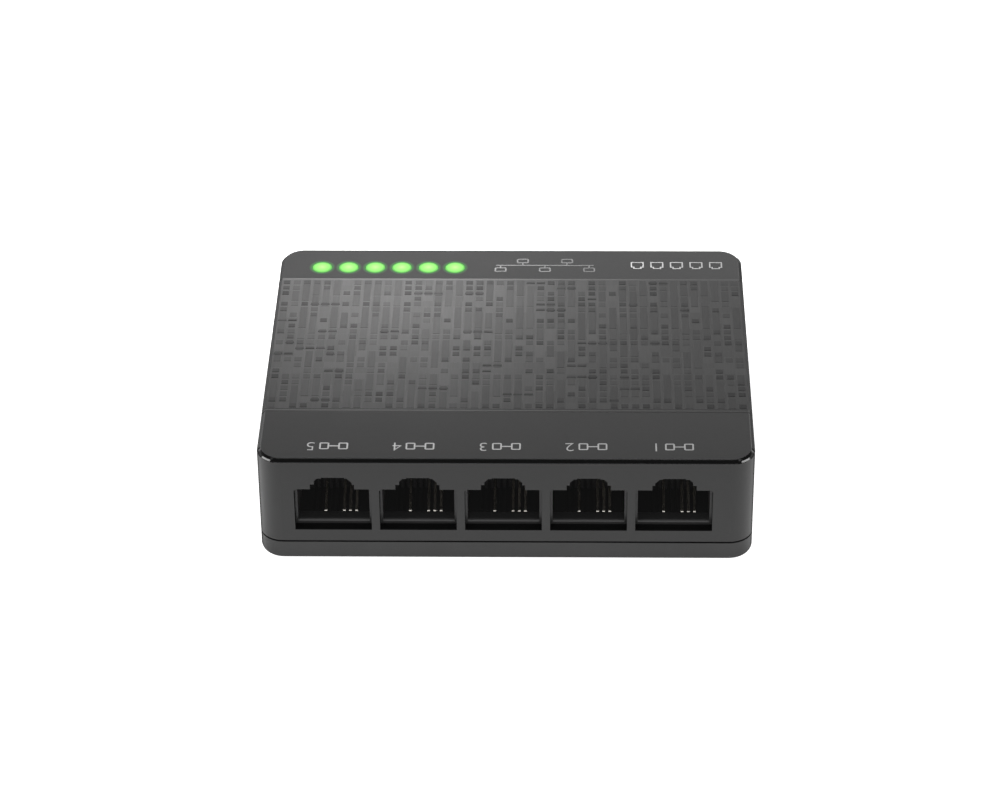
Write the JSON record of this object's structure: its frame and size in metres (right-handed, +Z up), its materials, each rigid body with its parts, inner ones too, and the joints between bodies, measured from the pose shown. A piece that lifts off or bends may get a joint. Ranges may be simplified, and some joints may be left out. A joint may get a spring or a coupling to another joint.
{
  "type": "desktop network switch",
  "caption": "Small desktop network switch: flat rounded case in two covers, a row of modular jacks along one long side, green indicator lenses on the deck, and a barrel power inlet.",
  "frame": {"origin": "centre of the footprint, on the plane that the rubber feet rest on", "axes": "+Z up; -Y out of the jacks, so +Y is the edge with the indicator lenses; +X out of the power inlet, which is to the right when the jacks are faced"},
  "size_m": [0.0814, 0.066, 0.021],
  "materials": {
    "top_cover": "fine matte, with a mosaic relief band and a polished bevel on the deck",
    "bottom_cover": "fine matte",
    "rubber_feet": "soft matte",
    "screw_steel": "zinc plated",
    "rating_plate": "blank satin film",
    "light_guide": "clear polycarbonate, lit green",
    "circuit_board": "green solder resist",
    "jack_housing": "moulded, satin",
    "contact_carrier": "moulded, satin",
    "contact_wire": "gold flashed phosphor bronze",
    "power_jack_body": "moulded, satin",
    "plated_pin": "nickel plated",
    "spring_metal": "phosphor bronze, bright",
    "tinned_lead": "tinned",
    "chip_moulding": "epoxy, fine matte",
    "crystal": "drawn can, satin",
    "dark_base": "matte",
    "capacitor_cans": "shrink sleeve over an aluminium can",
    "seal_rubber": "matte",
    "ferrite": "sintered, matte",
    "indicator_leds": "clear dome over a pale body",
    "chip_resistors": "glazed ceramic",
    "chip_capacitors": "ceramic"
  },
  "bodies": {
    "switch": {"top_cover": "top_cover", "bottom_cover": "bottom_cover", "rubber_feet": "rubber_feet", "case_screws": "screw_steel", "rating_plate": "rating_plate", "light_guide": "light_guide", "circuit_board": "circuit_board", "board_screws": "screw_steel", "jack_housing": "jack_housing", "contact_carrier_1": "contact_carrier", "contact_carrier_2": "contact_carrier", "contact_carrier_3": "contact_carrier", "contact_carrier_4": "contact_carrier", "contact_carrier_5": "contact_carrier", "contact_tails": "contact_wire", "power_jack_body": "power_jack_body", "power_jack_pin": "plated_pin", "power_jack_terminals": "tinned_lead", "switch_chip": "chip_moulding", "switch_chip_leads": "tinned_lead", "transformers": "chip_moulding", "transformer_leads": "tinned_lead", "crystal": "crystal", "crystal_base": "dark_base", "capacitor_cans": "capacitor_cans", "capacitor_seals": "seal_rubber", "power_inductor": "ferrite", "inductor_core": "ferrite", "regulator": "chip_moulding", "regulator_leads": "tinned_lead", "diode": "chip_moulding", "indicator_leds": "indicator_leds", "chip_resistors": "chip_resistors", "chip_capacitors": "chip_capacitors"},
    "contacts_1": {"contact_springs_1": "contact_wire"},
    "contacts_2": {"contact_springs_2": "contact_wire"},
    "contacts_3": {"contact_springs_3": "contact_wire"},
    "contacts_4": {"contact_springs_4": "contact_wire"},
    "contacts_5": {"contact_springs_5": "contact_wire"},
    "inlet_leaf": {"power_jack_spring": "spring_metal"}
  },
  "joints": [
    {"name": "contacts_1_flex", "type": "hinge", "parent": "switch", "child": "contacts_1", "pos_m": [-0.02834, -0.0279, 0.00735], "axis": [-1, 0, 0], "range_deg": [0, 14], "stiffness_Nm_per_rad": 0.00005, "springref_deg": -11.46},
    {"name": "contacts_2_flex", "type": "hinge", "parent": "switch", "child": "contacts_2", "pos_m": [-0.01437, -0.0279, 0.00735], "axis": [-1, 0, 0], "range_deg": [0, 14], "stiffness_Nm_per_rad": 0.00005, "springref_deg": -11.46},
    {"name": "contacts_3_flex", "type": "hinge", "parent": "switch", "child": "contacts_3", "pos_m": [-0.0004, -0.0279, 0.00735], "axis": [-1, 0, 0], "range_deg": [0, 14], "stiffness_Nm_per_rad": 0.00005, "springref_deg": -11.46},
    {"name": "contacts_4_flex", "type": "hinge", "parent": "switch", "child": "contacts_4", "pos_m": [0.01357, -0.0279, 0.00735], "axis": [-1, 0, 0], "range_deg": [0, 14], "stiffness_Nm_per_rad": 0.00005, "springref_deg": -11.46},
    {"name": "contacts_5_flex", "type": "hinge", "parent": "switch", "child": "contacts_5", "pos_m": [0.02754, -0.0279, 0.00735], "axis": [-1, 0, 0], "range_deg": [0, 14], "stiffness_Nm_per_rad": 0.00005, "springref_deg": -11.46},
    {"name": "inlet_leaf_flex", "type": "hinge", "parent": "switch", "child": "inlet_leaf", "pos_m": [0.0304, 0.008, 0.009], "axis": [0, 1, 0], "range_deg": [0, 7], "stiffness_Nm_per_rad": 0.00005, "springref_deg": -11.46}
  ]
}
